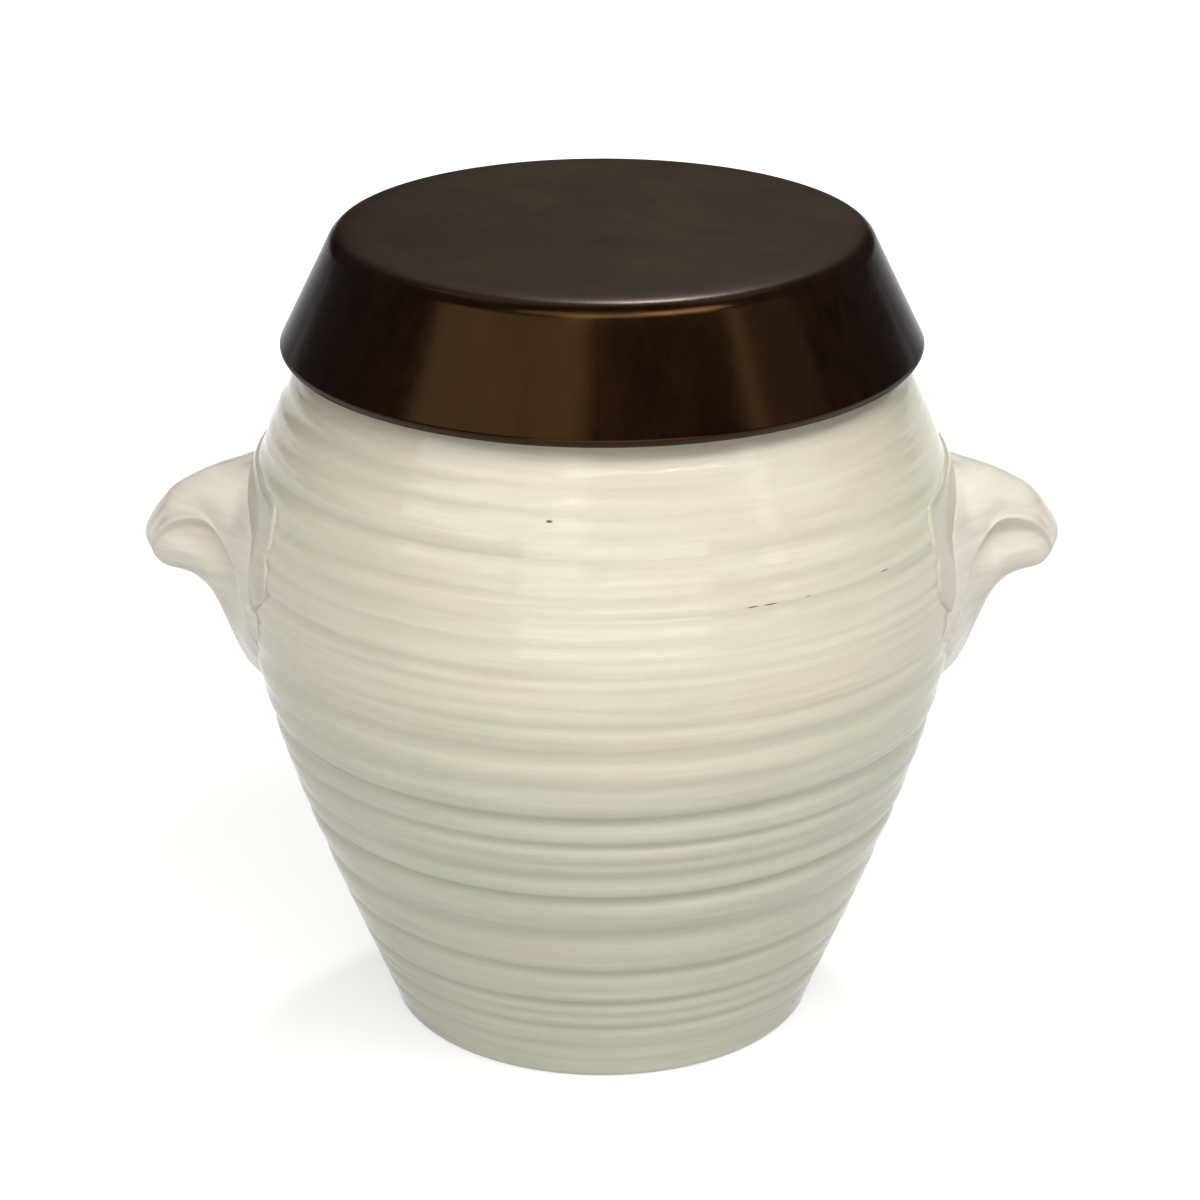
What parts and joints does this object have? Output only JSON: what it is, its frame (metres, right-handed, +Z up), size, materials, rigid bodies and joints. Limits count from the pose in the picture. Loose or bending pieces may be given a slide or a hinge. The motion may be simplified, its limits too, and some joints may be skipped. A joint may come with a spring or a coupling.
{
  "type": "onggi jar",
  "caption": "Glazed earthenware storage jar with a swelling belly, lug handles at the sides and a dark cap lid that lifts off.",
  "frame": {"origin": "centre of the foot, on the surface that the jar stands on", "axes": "+Z up along the jar's axis, +X through the right handle's tip, +Y to the back"},
  "size_m": [0.319, 0.252, 0.286],
  "materials": {
    "cream_glaze": "glossy cream ash glaze over throwing rings",
    "iron_glaze": "satin dark brown iron glaze"
  },
  "bodies": {
    "jar": {"jar_wall": "cream_glaze", "base_slab": "cream_glaze", "mouth_rim": "cream_glaze", "left_handle": "cream_glaze", "right_handle": "cream_glaze", "left_luting": "cream_glaze", "right_luting": "cream_glaze"},
    "lid": {"lid": "iron_glaze"}
  },
  "joints": [
    {"name": "lid_lift", "type": "slide", "parent": "jar", "child": "lid", "axis": [0, 0, 1], "range_m": [0, 0.08]}
  ]
}
